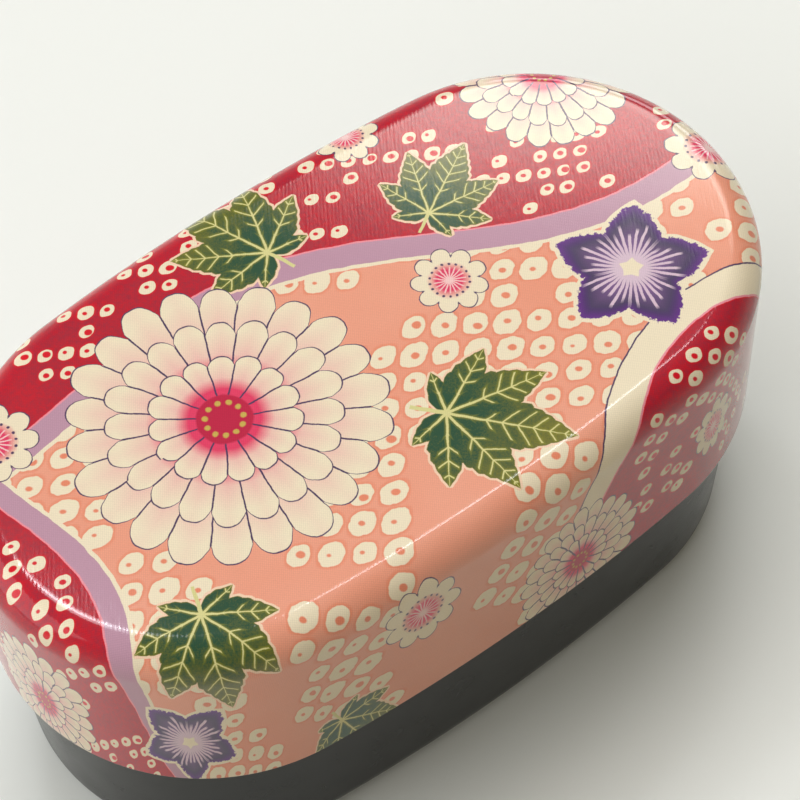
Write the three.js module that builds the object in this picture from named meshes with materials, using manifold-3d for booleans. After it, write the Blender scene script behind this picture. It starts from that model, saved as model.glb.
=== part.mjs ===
// A two-tier oval lunch box, closed: two stacked tiers, a divider in each, an inner lid with
// a seal, and a deep outer lid with cloth bonded over it. The box stands on z = 0, centred on
// x = y = 0, with its length along x. All sizes are in millimetres.
import * as THREE from "three";
import { mergeVertices } from "three/addons/utils/BufferGeometryUtils.js";
import Module from "manifold-3d";

const wasm = await Module();
wasm.setup();

// The closed box
const length = 175; // over the outer lid, end to end
const width = 97; // over the outer lid, across the middle
const height = 85;
const sideBow = 2.1; // by how much the long sides bow outwards from end to end
const seamHeight = 40.5; // from the table to the outer lid's rim

// Clearances
const seatGap = 0.3; // under a piece that stands on another
const slideGap = 0.3; // beside a piece that slides into or over another
const glueLine = 0.15; // between the cloth and the outer lid

// Outer lid
const clothThickness = 0.4;
const lidWall = 1.7;
const shoulderRadius = 7; // where the top turns down into the side, over the cloth
const lidRimBevel = 0.5; // the lead-in round the inside of the rim

// Both tiers
const tierWall = 2.2;
const tierFloor = 2.2;
const rimEdgeRadius = 0.7;

// Lower tier
const lidOverlap = 5; // how far its rim stands up inside the outer lid
const lowerTaperShare = 0.05; // how far its side leans in, per height below the seam
const lowerBottomRadius = 7.7;
const footRingHeight = 0.8;
const footRingWidth = 4;

// Upper tier
const upperTaperShare = 0.012;
const spigotDepth = 4.5; // how far its bottom reaches down into the lower tier
const spigotRadius = 3;
const upperBottomRadius = 7; // inside it, between wall and floor

// Inner lid
const flangeThickness = 1.6; // the edge that lies on the upper tier's rim
const plugDepth = 5.3; // from the flange down to its underside
const plugClearance = 0.6; // beside it, where the seal bridges to the tier
const panelThickness = 1.6;
const innerLidEdgeRadius = 0.6;
const wellRadius = 2; // between the sunken panel and the wall round it
const grooveDepth = 1.6; // the seal's groove
const grooveHeight = 2.6;
const grooveCover = 1; // between the groove and the flange
const grooveWall = 1.5; // behind the groove
const gripLength = 48; // the bar that the lid is pulled up by
const gripThickness = 6; // at its ends
const gripWaist = 3.6; // across its middle
const gripHeadroom = 0.9; // between it and the outer lid

// Seal
const finReach = 0.7; // how far its two fins stand out
const finHeight = 0.8; // of a fin at its root

// Dividers
const webThickness = 1.4;
const beadRadius = 1.3; // the rounded top edge
const footLength = 14; // the strip along the floor and walls that keeps a divider upright
const footThickness = 1.2;
const dividerHeadroom = 1.2;
const upperDividerPlace = 18; // from the middle of the box, along its length
const lowerDividerPlace = -14;

// How many straight steps stand in for a curve
const endSteps = 22; // round each end of the box
const sideSteps = 4; // along each long side
const cornerSteps = 6;
const edgeSteps = 2;
const beadSteps = 8;

// Insets from the outer lid's outline
const lidCover = clothThickness + glueLine;
const lidInside = lidCover + lidWall;
const tierOutside = lidInside + slideGap;
const tierMouth = tierOutside + tierWall;
const plugSide = tierMouth + plugClearance;
const grooveBack = plugSide + grooveDepth;
const wellSide = grooveBack + grooveWall;

// Heights, from the top of the box down
const ceiling = height - lidCover - lidWall; // inside the outer lid
const flangeTop = ceiling - seatGap;
const flangeUnderside = flangeTop - flangeThickness;
const upperRim = flangeUnderside - seatGap;
const plugUnderside = flangeUnderside - plugDepth;
const panelTop = plugUnderside + panelThickness;
const grooveTop = flangeUnderside - grooveCover;
const grooveFoot = grooveTop - grooveHeight;
const lowerRim = seamHeight + lidOverlap;
const upperLedge = lowerRim + seatGap; // the step that stands on the lower tier's rim
const upperUnderside = upperLedge - spigotDepth;
const upperFloor = upperUnderside + tierFloor;
const lowerFloor = footRingHeight + tierFloor;

// The outline is an oval of four arcs, and an inset moves each arc in towards its own centre.
const endRadius = width / 2 - sideBow;
const endCentre = length / 2 - endRadius;
const sideRadius = (endCentre ** 2 + (width / 2) ** 2 - endRadius ** 2) / (2 * sideBow);
const sideCentre = sideRadius - width / 2;
const jointAngle = Math.atan2(sideCentre, endCentre); // where an end arc meets a side arc

function pointOnArc(centre, radius, angle) {
  const spoke = new THREE.Vector2(Math.cos(angle), Math.sin(angle));
  return spoke.multiplyScalar(radius).add(centre);
}

// Points along an arc, without its last point.
function arcPoints(centre, radius, from, to, steps) {
  const turn = (to - from) / steps;
  return Array.from({ length: steps }, (_, i) => pointOnArc(centre, radius, from + i * turn));
}

function ovalOutline(inset) {
  const ends = endRadius - inset;
  const sides = sideRadius - inset;
  const halfTurn = Math.PI;
  const fullTurn = 2 * Math.PI;
  const [right, left] = [endCentre, -endCentre].map((x) => new THREE.Vector2(x, 0));
  const [front, back] = [-sideCentre, sideCentre].map((y) => new THREE.Vector2(0, y));
  return [
    ...arcPoints(right, ends, -jointAngle, jointAngle, endSteps),
    ...arcPoints(front, sides, jointAngle, halfTurn - jointAngle, sideSteps),
    ...arcPoints(left, ends, halfTurn - jointAngle, halfTurn + jointAngle, endSteps),
    ...arcPoints(back, sides, halfTurn + jointAngle, fullTurn - jointAngle, sideSteps),
  ];
}

// A section is drawn with x as the inset from the outer lid's outline, and y as the height.
const at = (inset, z) => new THREE.Vector2(inset, z);
const inwards = 0;
const upwards = Math.PI / 2;
const outwards = Math.PI;
const downwards = (3 * Math.PI) / 2;

function corner(centre, radius, from, to, steps = cornerSteps) {
  return [...arcPoints(centre, radius, from, to, steps), pointOnArc(centre, radius, to)];
}

// Carries a section round the oval. A vessel's section runs from the middle of its outer face
// to its rim and back along its inner face, and a flat face closes each end. A ring's section
// closes on itself.
function carryRound(section, isRing = false) {
  const rings = section.map((point) => ovalOutline(point.x));
  const count = rings[0].length;
  const positions = [];
  const add = (ring, step) => {
    const point = rings[ring][step % count];
    positions.push(point.x, point.y, section[ring].y);
  };
  const addBand = (ring, next) => {
    for (let step = 0; step < count; step++) {
      add(ring, step);
      add(ring, step + 1);
      add(next, step + 1);
      add(ring, step);
      add(next, step + 1);
      add(next, step);
    }
  };
  const addFace = (ring, first, second) => {
    for (let step = 0; step < count; step++) {
      positions.push(0, 0, section[ring].y);
      add(ring, step + first);
      add(ring, step + second);
    }
  };
  const last = section.length - 1;
  for (let ring = 0; ring < last; ring++) addBand(ring, ring + 1);
  if (isRing) {
    addBand(last, 0);
  } else {
    addFace(0, 1, 0);
    addFace(last, 0, 1);
  }
  const geometry = new THREE.BufferGeometry();
  geometry.setAttribute("position", new THREE.Float32BufferAttribute(positions, 3));
  return geometry;
}

function toSolid(geometry) {
  const bare = geometry.clone();
  bare.deleteAttribute("normal");
  bare.deleteAttribute("uv");
  const merged = mergeVertices(bare);
  const vertProperties = new Float32Array(merged.attributes.position.array);
  const triVerts = new Uint32Array(merged.index.array);
  return new wasm.Manifold(new wasm.Mesh({ numProp: 3, vertProperties, triVerts }));
}

function toGeometry(solid) {
  const { vertProperties, triVerts } = solid.getMesh();
  const geometry = new THREE.BufferGeometry();
  geometry.setAttribute("position", new THREE.BufferAttribute(vertProperties, 3));
  geometry.setIndex(new THREE.BufferAttribute(triVerts, 1));
  return geometry;
}

// The lid's cloth and its shell bend round one centre at the shoulder.
const shoulderCentre = at(shoulderRadius, height - shoulderRadius);

function lidLayer(outside, inside, rim) {
  return carryRound([
    ...corner(shoulderCentre, shoulderRadius - inside, upwards, outwards),
    ...rim,
    at(outside, seamHeight),
    ...corner(shoulderCentre, shoulderRadius - outside, outwards, upwards),
  ]);
}

function outerLidShell() {
  const bevelTop = at(lidInside, seamHeight + lidRimBevel);
  const bevelFoot = at(lidInside - lidRimBevel, seamHeight);
  return lidLayer(lidCover, lidInside, [bevelTop, bevelFoot]);
}

function outerLidCloth() {
  return lidLayer(0, clothThickness, [at(clothThickness, seamHeight)]);
}

// What lies just under the lid's shoulder is rounded off alongside it.
const nestRadius = shoulderRadius - tierOutside;
const nestCentre = at(shoulderRadius, flangeTop - nestRadius);

function nestAngle(z) {
  return outwards - Math.asin(Math.max(z - nestCentre.y, 0) / nestRadius);
}

// The rounded edge between the top of a tier's rim and its mouth.
function rimInnerEdge(rim) {
  const centre = at(tierMouth - rimEdgeRadius, rim - rimEdgeRadius);
  return corner(centre, rimEdgeRadius, upwards, inwards, edgeSteps);
}

// The lower tier's side stands upright inside the outer lid, and leans in below the seam.
function lowerSide(z) {
  return tierOutside + lowerTaperShare * (seamHeight - z);
}

// The lower tier's inner face below the seam, or a face that clears it by a margin.
function lowerInside(margin) {
  const radius = lowerBottomRadius - tierWall;
  const wallFoot = lowerSide(lowerFloor + radius) + tierWall;
  const centre = at(wallFoot + radius, lowerFloor + radius);
  return [
    at(tierMouth + margin, seamHeight),
    ...corner(centre, radius - margin, outwards, downwards),
  ];
}

function lowerTier() {
  const bottomSide = lowerSide(lowerBottomRadius);
  const bottomCentre = at(bottomSide + lowerBottomRadius, lowerBottomRadius);
  const ringInside = bottomCentre.x + footRingWidth;
  const rimCentre = at(tierOutside + rimEdgeRadius, lowerRim - rimEdgeRadius);
  return carryRound([
    at(ringInside + footRingHeight, footRingHeight),
    at(ringInside, 0),
    ...corner(bottomCentre, lowerBottomRadius, downwards, outwards),
    at(tierOutside, seamHeight),
    ...corner(rimCentre, rimEdgeRadius, outwards, upwards, edgeSteps),
    ...rimInnerEdge(lowerRim),
    ...lowerInside(0),
  ]);
}

function upperSide(z) {
  return tierOutside + upperTaperShare * (nestCentre.y - z);
}

// The upper tier's inner face below its rim, or a face that clears it by a margin.
function upperInside(margin) {
  const radius = upperBottomRadius;
  const wallFoot = upperSide(upperFloor + radius) + tierWall;
  const centre = at(wallFoot + radius, upperFloor + radius);
  return [
    at(tierMouth + margin, nestCentre.y),
    ...corner(centre, radius - margin, outwards, downwards),
  ];
}

// The upper tier stands on the lower tier's rim, with its bottom inside the lower tier's mouth.
function upperTier() {
  const spigotSide = tierMouth + slideGap;
  const spigotCentre = at(spigotSide + spigotRadius, upperUnderside + spigotRadius);
  return carryRound([
    ...corner(spigotCentre, spigotRadius, downwards, outwards),
    at(spigotSide, upperLedge),
    at(upperSide(upperLedge), upperLedge),
    ...corner(nestCentre, nestRadius, outwards, nestAngle(upperRim), edgeSteps),
    ...rimInnerEdge(upperRim),
    ...upperInside(0),
  ]);
}

// A bar across the sunken panel, waisted so that fingers hold it.
function innerLidGrip() {
  const end = gripThickness / 2;
  const straight = gripLength / 2 - end;
  const waistPull = gripWaist - end; // the curve passes halfway between this and the ends
  const plan = new THREE.Shape()
    .moveTo(-straight, -end)
    .quadraticCurveTo(0, -waistPull, straight, -end)
    .absarc(straight, 0, end, -upwards, upwards)
    .quadraticCurveTo(0, waistPull, -straight, end)
    .absarc(-straight, 0, end, upwards, downwards);
  const root = panelThickness / 2;
  const reach = ceiling - gripHeadroom - panelTop;
  const grip = new THREE.ExtrudeGeometry(plan, {
    depth: root + reach - innerLidEdgeRadius,
    bevelThickness: innerLidEdgeRadius,
    bevelSize: innerLidEdgeRadius,
    bevelOffset: -innerLidEdgeRadius,
    bevelSegments: edgeSteps,
    curveSegments: cornerSteps,
  });
  return grip.translate(0, 0, panelTop - root);
}

function innerLid() {
  const edge = innerLidEdgeRadius;
  const plugCentre = at(plugSide + edge, plugUnderside + edge);
  const lipCentre = at(wellSide - edge, flangeTop - edge);
  const wellCentre = at(wellSide + wellRadius, panelTop + wellRadius);
  const dish = carryRound([
    ...corner(plugCentre, edge, downwards, outwards, edgeSteps),
    at(plugSide, grooveFoot),
    at(grooveBack, grooveFoot),
    at(grooveBack, grooveTop),
    at(plugSide, grooveTop),
    at(plugSide, flangeUnderside),
    ...corner(nestCentre, nestRadius, nestAngle(flangeUnderside), upwards, edgeSteps),
    ...corner(lipCentre, edge, upwards, inwards, edgeSteps),
    ...corner(wellCentre, wellRadius, outwards, downwards, edgeSteps),
  ]);
  return toGeometry(toSolid(dish).add(toSolid(innerLidGrip())));
}

// A ring in the inner lid's groove. Its two fins bridge to the upper tier's wall.
function innerLidSeal() {
  const foot = grooveFoot + slideGap;
  const top = grooveTop - slideGap;
  const back = grooveBack - slideGap;
  const tip = tierMouth + slideGap;
  const finRoot = tip + finReach;
  const section = [
    at(back, foot),
    at(finRoot, foot),
    at(tip, foot + finHeight / 2),
    at(finRoot, foot + finHeight),
    at(finRoot, top - finHeight),
    at(tip, top - finHeight / 2),
    at(finRoot, top),
    at(back, top),
  ];
  return carryRound(section, true);
}

// A divider's web crosses the tier, and its top edge is a bead.
function dividerWeb(top) {
  const half = webThickness / 2;
  const neck = Math.asin(half / beadRadius);
  const outline = new THREE.Shape()
    .moveTo(-half, 0)
    .lineTo(half, 0)
    .absarc(0, top - beadRadius, beadRadius, neck - upwards, downwards - neck);
  const web = new THREE.ExtrudeGeometry(outline, {
    depth: width,
    bevelEnabled: false,
    curveSegments: beadSteps,
  });
  return web.rotateX(upwards).translate(0, width / 2, 0);
}

// A strip along the floor and both walls stands the web upright.
function divider(inside, rim, top, place) {
  const space = (margin) => {
    const section = [at(tierMouth + margin, rim), ...inside(margin)];
    return toSolid(carryRound(section.reverse()));
  };
  const footTop = top - 2 * beadRadius;
  const block = new THREE.BoxGeometry(footLength, width, footTop);
  const foot = toSolid(block.translate(place, 0, footTop / 2));
  const web = toSolid(dividerWeb(top).translate(place, 0, 0));
  const fitted = space(slideGap);
  const strip = fitted.intersect(foot).subtract(space(slideGap + footThickness));
  return toGeometry(fitted.intersect(web).add(strip));
}

function lowerDivider() {
  const top = upperUnderside - dividerHeadroom;
  return divider(lowerInside, lowerRim, top, lowerDividerPlace);
}

function upperDivider() {
  const top = plugUnderside - dividerHeadroom;
  return divider(upperInside, upperRim, top, upperDividerPlace);
}

function plastic(name, color, roughness) {
  return new THREE.MeshStandardMaterial({ name, color, roughness, metalness: 0 });
}

const blackPlastic = plastic("black matt plastic", 0x2b2c2a, 0.5);
const milkyPlastic = plastic("milky plastic", 0xe9e6dc, 0.4);
const whiteSilicone = plastic("white silicone", 0xf1f0ea, 0.6);
const coatedCloth = plastic("printed cloth under a clear coat", 0xe08a74, 0.25);

const lunchBox = new THREE.Group();

function addPiece(name, geometry, material) {
  geometry.computeVertexNormals();
  const piece = new THREE.Mesh(geometry, material);
  piece.name = name;
  lunchBox.add(piece);
}

addPiece("lower_tier", lowerTier(), blackPlastic);
addPiece("lower_divider", lowerDivider(), blackPlastic);
addPiece("upper_tier", upperTier(), blackPlastic);
addPiece("upper_divider", upperDivider(), blackPlastic);
addPiece("inner_lid", innerLid(), milkyPlastic);
addPiece("inner_lid_seal", innerLidSeal(), whiteSilicone);
addPiece("outer_lid_shell", outerLidShell(), blackPlastic);
addPiece("outer_lid_cloth", outerLidCloth(), coatedCloth);

export default lunchBox;
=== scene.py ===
"""The looks of a two-tier oval lunch box with a cloth-covered lid, in metres, around its frame."""

import logging
from dataclasses import dataclass
from enum import Enum
from math import asin, atan2, cos, pi, radians, sin
from typing import Callable, Iterable, Sequence

import bpy
from mathutils import Matrix, Vector


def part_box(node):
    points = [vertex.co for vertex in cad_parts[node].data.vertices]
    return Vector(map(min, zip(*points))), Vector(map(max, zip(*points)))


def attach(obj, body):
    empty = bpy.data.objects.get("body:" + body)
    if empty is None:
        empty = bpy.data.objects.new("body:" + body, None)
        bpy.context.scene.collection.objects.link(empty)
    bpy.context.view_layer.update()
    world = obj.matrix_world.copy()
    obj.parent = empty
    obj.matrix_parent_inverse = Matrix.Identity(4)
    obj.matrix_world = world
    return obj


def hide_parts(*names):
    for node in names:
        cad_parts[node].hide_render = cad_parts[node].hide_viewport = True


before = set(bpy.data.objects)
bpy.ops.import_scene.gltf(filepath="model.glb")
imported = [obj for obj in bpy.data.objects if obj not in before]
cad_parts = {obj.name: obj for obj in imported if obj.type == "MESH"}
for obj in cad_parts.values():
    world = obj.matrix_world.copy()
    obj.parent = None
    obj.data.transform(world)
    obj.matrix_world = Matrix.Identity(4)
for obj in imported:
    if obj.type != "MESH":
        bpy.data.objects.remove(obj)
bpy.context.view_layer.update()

LOG = logging.getLogger("lunch_box")

Point = tuple[float, float]  # an inset from the lid's outline, and a height
Colour = tuple[float, float, float]

INWARDS = 0.0
UPWARDS = pi / 2
OUTWARDS = pi
DOWNWARDS = 3 * pi / 2
UP = Vector((0, 0, 1))
MERGE = 1e-6  # points nearer than this are one
MM = 0.001
MAP_UNIT = 0.01  # of the cloth's map in a millimetre
CLOTH_MAP = "flat cloth"
MIDDLE = (0.5, 0.5, 0.5)  # of a cell, or of a noise's colours
SCATTER = (12.9898, 43758.5)  # a step and a reach that leave no pattern in the sine
GOLDEN_SHARE = 0.61803


# Sizes that the pieces share


@dataclass(frozen=True)
class Oval:
    """The lid's outline: two round ends joined by two long sides that bow out a little.

    An inset moves each of the four arcs in towards its own centre.
    """

    length: float
    width: float
    side_bow: float = 0.0021

    @property
    def end_radius(self) -> float:
        """The radius of a round end."""
        return self.width / 2 - self.side_bow

    @property
    def end_centre(self) -> float:
        """How far the centre of a round end is from the middle of the box."""
        return self.length / 2 - self.end_radius

    @property
    def side_radius(self) -> float:
        """The radius of a long side."""
        reach = self.end_centre**2 + (self.width / 2) ** 2 - self.end_radius**2
        return reach / (2 * self.side_bow)

    @property
    def side_centre(self) -> float:
        """How far the centre of a long side's arc is from the middle of the box."""
        return self.side_radius - self.width / 2

    @property
    def joint_angle(self) -> float:
        """The angle from the box's length to where an end meets a side."""
        return atan2(self.side_centre, self.end_centre)

    def outward(self, x: float, y: float) -> tuple[Vector, float]:
        """Finds the direction square to the outline through a point, and the point's inset.

        Args:
            x: The point's place along the box.
            y: The point's place across the box.

        Returns:
            The outward direction, and the distance in from the outline.
        """
        side = Vector((x, y + self.side_centre * (1 if y >= 0 else -1)))
        if abs(side.x) < abs(side.y) / self.side_centre * self.end_centre:
            return side.normalized(), self.side_radius - side.length
        end = Vector((x - self.end_centre * (1 if x >= 0 else -1), y))
        return end.normalized(), self.end_radius - end.length


@dataclass(frozen=True)
class Stack:
    """Where the nested pieces meet, as insets from the lid's outline and as heights."""

    height: float
    seam: float  # the outer lid's rim
    seat_gap: float = 0.0003
    slide_gap: float = 0.0003
    glue_line: float = 0.00015
    cloth: float = 0.0004
    lid_wall: float = 0.0017
    shoulder_radius: float = 0.007
    tier_wall: float = 0.0022
    tier_floor: float = 0.0022
    lid_overlap: float = 0.005
    spigot_depth: float = 0.0045
    flange: float = 0.0016
    plug_depth: float = 0.0053
    rim_edge: float = 0.0007

    @property
    def lid_cover(self) -> float:
        """The inset of the outer lid's shell, under the cloth."""
        return self.cloth + self.glue_line

    @property
    def lid_inside(self) -> float:
        """The inset of the outer lid's inner face."""
        return self.lid_cover + self.lid_wall

    @property
    def tier_outside(self) -> float:
        """The inset of a tier inside the outer lid."""
        return self.lid_inside + self.slide_gap

    @property
    def tier_mouth(self) -> float:
        """The inset of a tier's mouth."""
        return self.tier_outside + self.tier_wall

    @property
    def ceiling(self) -> float:
        """The height of the outer lid's inner face."""
        return self.height - self.lid_inside

    @property
    def flange_top(self) -> float:
        """The height of the inner lid's top."""
        return self.ceiling - self.seat_gap

    @property
    def flange_underside(self) -> float:
        """The height of the underside of the inner lid's edge."""
        return self.flange_top - self.flange

    @property
    def upper_rim(self) -> float:
        """The height of the upper tier's rim."""
        return self.flange_underside - self.seat_gap

    @property
    def plug_underside(self) -> float:
        """The height of the inner lid's lowest face."""
        return self.flange_underside - self.plug_depth

    @property
    def lower_rim(self) -> float:
        """The height of the lower tier's rim."""
        return self.seam + self.lid_overlap

    @property
    def upper_ledge(self) -> float:
        """The height of the step by which the upper tier stands on the lower one."""
        return self.lower_rim + self.seat_gap

    @property
    def upper_underside(self) -> float:
        """The height of the upper tier's underside."""
        return self.upper_ledge - self.spigot_depth

    @property
    def nest_radius(self) -> float:
        """The radius by which a piece under the lid's shoulder is rounded off."""
        return self.shoulder_radius - self.tier_outside

    @property
    def nest_centre(self) -> Point:
        """The centre of that rounding."""
        return (self.shoulder_radius, self.flange_top - self.nest_radius)

    def nest_angle(self, z: float) -> float:
        """Gives the angle at which the rounding under the shoulder reaches a height."""
        return OUTWARDS - asin(max(z - self.nest_centre[1], 0) / self.nest_radius)


# Modelling by operators


def arc(centre: Point, radius: float, start: float, stop: float, steps: int) -> list[Point]:
    """Lists the points of an arc of a section.

    Args:
        centre: The arc's centre.
        radius: Its radius.
        start: The angle of its first point, with inwards as zero and upwards as a quarter turn.
        stop: The angle of its last point.
        steps: How many straight steps stand in for it.

    Returns:
        The points, with both ends.
    """
    turns = [start + (stop - start) * step / steps for step in range(steps + 1)]
    return [(centre[0] + radius * cos(turn), centre[1] + radius * sin(turn)) for turn in turns]


def deselect_all() -> None:
    """Clears the selection, in which loading leaves every node."""
    if bpy.context.mode != "OBJECT":
        bpy.ops.object.mode_set(mode="OBJECT")
    bpy.ops.object.select_all(action="DESELECT")


def pick(piece: bpy.types.Object) -> None:
    """Makes a piece the only selected object, and the active one.

    Args:
        piece: The piece.
    """
    deselect_all()
    piece.select_set(True)
    bpy.context.view_layer.objects.active = piece


def draw_line(name: str, places: Sequence[Vector]) -> bpy.types.Object:
    """Draws a line through places, by extruding one vertex, and stays in edit mode.

    Args:
        name: The new piece's name.
        places: The line's points in order.

    Returns:
        The new piece, with the line's last vertex selected.
    """
    deselect_all()
    bpy.ops.mesh.primitive_plane_add(size=places[0].length or 1)
    piece = bpy.context.object
    piece.name = name
    piece.data.name = name
    bpy.ops.object.mode_set(mode="EDIT")
    bpy.ops.mesh.merge(type="CENTER")
    bpy.ops.transform.translate(value=places[0])
    for here, there in zip(places, places[1:]):
        bpy.ops.mesh.extrude_region_move(TRANSFORM_OT_translate={"value": there - here})
    return piece


def draw_face(name: str, places: Sequence[Vector]) -> bpy.types.Object:
    """Draws a face inside an outline, and stays in edit mode.

    Args:
        name: The new piece's name.
        places: The outline's points in order.

    Returns:
        The new piece, with its face selected.
    """
    piece = draw_line(name, [*places, places[0]])
    bpy.ops.mesh.select_all(action="SELECT")
    bpy.ops.mesh.remove_doubles(threshold=MERGE)
    bpy.ops.mesh.edge_face_add()
    return piece


def lift_face(distance: float, way: Vector = UP) -> None:
    """Extrudes the selected face, in edit mode.

    Args:
        distance: How far.
        way: The direction.
    """
    bpy.ops.mesh.extrude_region_move(TRANSFORM_OT_translate={"value": way * distance})


def steps_of(points: Sequence[Point]) -> Iterable[Point]:
    """Gives the step from each point of a line to the next."""
    return [(there[0] - here[0], there[1] - here[1]) for here, there in zip(points, points[1:])]


def face_outwards() -> None:
    """Turns the faces of a closed mesh outwards, and leaves edit mode."""
    bpy.ops.mesh.select_all(action="SELECT")
    bpy.ops.mesh.normals_make_consistent(inside=False)
    deselect_all()


def close_up() -> None:
    """Merges doubles, fills open ends and turns the faces outwards, and leaves edit mode."""
    bpy.ops.mesh.select_all(action="SELECT")
    bpy.ops.mesh.remove_doubles(threshold=MERGE)
    bpy.ops.mesh.select_all(action="DESELECT")
    bpy.ops.mesh.select_non_manifold()
    bpy.ops.mesh.fill_holes(sides=0)
    face_outwards()


def modify(piece: bpy.types.Object, kind: str, **settings: object) -> None:
    """Adds a modifier to a piece and applies it.

    Args:
        piece: The piece.
        kind: The modifier's type.
        settings: Its settings by name.
    """
    pick(piece)
    bpy.ops.object.modifier_add(type=kind)
    modifier = piece.modifiers[-1]
    for setting, value in settings.items():
        setattr(modifier, setting, value)
    bpy.ops.object.modifier_apply(modifier=modifier.name)


def soften(piece: bpy.types.Object, radius: float, angle: float = radians(50)) -> None:
    """Rounds off a piece's edges that are sharper than an angle."""
    modify(piece, "BEVEL", width=radius, segments=2, limit_method="ANGLE", angle_limit=angle)


def combine(piece: bpy.types.Object, other: bpy.types.Object, operation: str) -> None:
    """Joins a piece with another solid or cuts it, and removes the other.

    Args:
        piece: The piece that is changed.
        other: The solid that is used up.
        operation: UNION, INTERSECT or DIFFERENCE.
    """
    modify(piece, "BOOLEAN", operation=operation, object=other, solver="EXACT")
    pick(other)
    bpy.ops.object.delete()


def smooth(piece: bpy.types.Object, angle: float = radians(32)) -> None:
    """Shades a piece smooth, except across edges sharper than an angle."""
    pick(piece)
    bpy.ops.object.shade_smooth_by_angle(angle=angle)


@dataclass(frozen=True)
class Carrier:
    """Carries a section round the oval, one arc after the other."""

    oval: Oval
    end_steps: int = 72
    side_steps: int = 28

    def carry(self, name: str, section: Sequence[Point]) -> bpy.types.Object:
        """Sweeps a section round the oval and closes it.

        Args:
            name: The new piece's name.
            section: Its points. A vessel's run from its outer flat face to its inner one, and
                a ring's end where they begin.

        Returns:
            The closed piece, in object mode.
        """
        oval = self.oval
        edge = oval.length / 2
        piece = draw_line(name, [Vector((edge - inset, 0, z)) for inset, z in section])
        bpy.ops.mesh.select_all(action="SELECT")
        end_turn = 2 * oval.joint_angle
        side_turn = pi - end_turn
        half = self.end_steps // 2
        for x, y, turn, steps in (
            (oval.end_centre, 0, end_turn / 2, half),
            (0, -oval.side_centre, side_turn, self.side_steps),
            (-oval.end_centre, 0, end_turn, self.end_steps),
            (0, oval.side_centre, side_turn, self.side_steps),
            (oval.end_centre, 0, end_turn / 2, half),
        ):
            bpy.ops.mesh.spin(steps=steps, angle=turn, center=(x, y, 0), axis=-UP)
        close_up()
        smooth(piece)
        return piece


# Patterns, as sums over a node tree


def dye(red: int, green: int, blue: int) -> Colour:
    """Turns a colour on a scale of 255, as a screen shows it, into linear light.

    Args:
        red: The red part.
        green: The green part.
        blue: The blue part.

    Returns:
        The colour, with parts from 0 to 1.
    """
    shares = [value / 255 for value in (red, green, blue)]
    light = [((share + 0.055) / 1.055) ** 2.4 if share > 0.04045 else share / 12.92 for share in shares]
    return (light[0], light[1], light[2])


class Output:
    """A node's output, to be linked to other nodes."""

    def __init__(self, tree: bpy.types.NodeTree, socket: bpy.types.NodeSocket) -> None:
        """Wraps a socket."""
        self.tree = tree
        self.socket = socket

    def feed(self, slot: bpy.types.NodeSocket) -> None:
        """Links this to an input."""
        self.tree.links.new(self.socket, slot)


Term = Output | float | Sequence[float]
Tint = Output | Colour


def add_node(
    tree: bpy.types.NodeTree,
    kind: str,
    terms: dict[int | str, Term],
    **options: str,
) -> bpy.types.Node:
    """Adds a node.

    Args:
        tree: The node tree.
        kind: The node's type, without its prefix.
        terms: What its inputs get, each a plain value or an output to link.
        options: The node's own settings by name.

    Returns:
        The node.
    """
    node = tree.nodes.new(f"ShaderNode{kind}")
    for option, value in options.items():
        setattr(node, option, value)
    for slot, term in terms.items():
        if isinstance(term, Output):
            term.feed(node.inputs[slot])
        else:
            node.inputs[slot].default_value = term
    return node


class Field(Output):
    """A number that varies over a surface."""

    def math(self, operation: str, *terms: "Field | float") -> "Field":
        """Works out a sum whose terms are given in order."""
        node = add_node(self.tree, "Math", dict(enumerate(terms)), operation=operation)
        return Field(self.tree, node.outputs[0])

    def __add__(self, other: "Field | float") -> "Field":
        """Adds."""
        return self.math("ADD", self, other)

    def __sub__(self, other: "Field | float") -> "Field":
        """Subtracts."""
        return self.math("SUBTRACT", self, other)

    def __rsub__(self, other: float) -> "Field":
        """Subtracts this from a plain number."""
        return self.math("SUBTRACT", other, self)

    def __mul__(self, other: "Field | float") -> "Field":
        """Multiplies."""
        return self.math("MULTIPLY", self, other)

    def __truediv__(self, other: "Field | float") -> "Field":
        """Divides."""
        return self.math("DIVIDE", self, other)

    def __pow__(self, power: float) -> "Field":
        """Raises to a power."""
        return self.math("POWER", self, power)

    def __abs__(self) -> "Field":
        """Drops the sign."""
        return self.math("ABSOLUTE", self)

    def sin(self) -> "Field":
        """Takes the sine."""
        return self.math("SINE", self)

    def fraction(self) -> "Field":
        """Keeps what is left over from the whole number below."""
        return self.math("FRACT", self)

    def floor(self) -> "Field":
        """Rounds down."""
        return self.math("FLOOR", self)

    def scattered(self) -> "Field":
        """Gives each whole number one from 0 to 1 that looks random."""
        step, reach = SCATTER
        return ((self * step).sin() * reach).fraction()

    def least(self, other: "Field | float") -> "Field":
        """Takes the lesser."""
        return self.math("MINIMUM", self, other)

    def most(self, other: "Field | float") -> "Field":
        """Takes the greater."""
        return self.math("MAXIMUM", self, other)

    def over(self, limit: float, blur: float = 0.0) -> "Field":
        """Gives 1 where the number is over a limit, and 0 elsewhere.

        Args:
            limit: Where the edge lies.
            blur: How far the change spreads to each side.

        Returns:
            The mask.
        """
        if blur == 0:
            return self.math("GREATER_THAN", self, limit)
        return self.ramp(limit - blur, limit + blur)

    def ramp(self, low: float, high: float, start: float = 0.0, stop: float = 1.0) -> "Field":
        """Maps one stretch of numbers to another, and holds the ends.

        Args:
            low: The number that becomes the first.
            high: The number that becomes the last.
            start: What the low number becomes.
            stop: What the high number becomes.

        Returns:
            The mapped number.
        """
        terms = {"Value": self, "From Min": low, "From Max": high, "To Min": start, "To Max": stop}
        return Field(self.tree, add_node(self.tree, "MapRange", terms).outputs["Result"])


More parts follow.
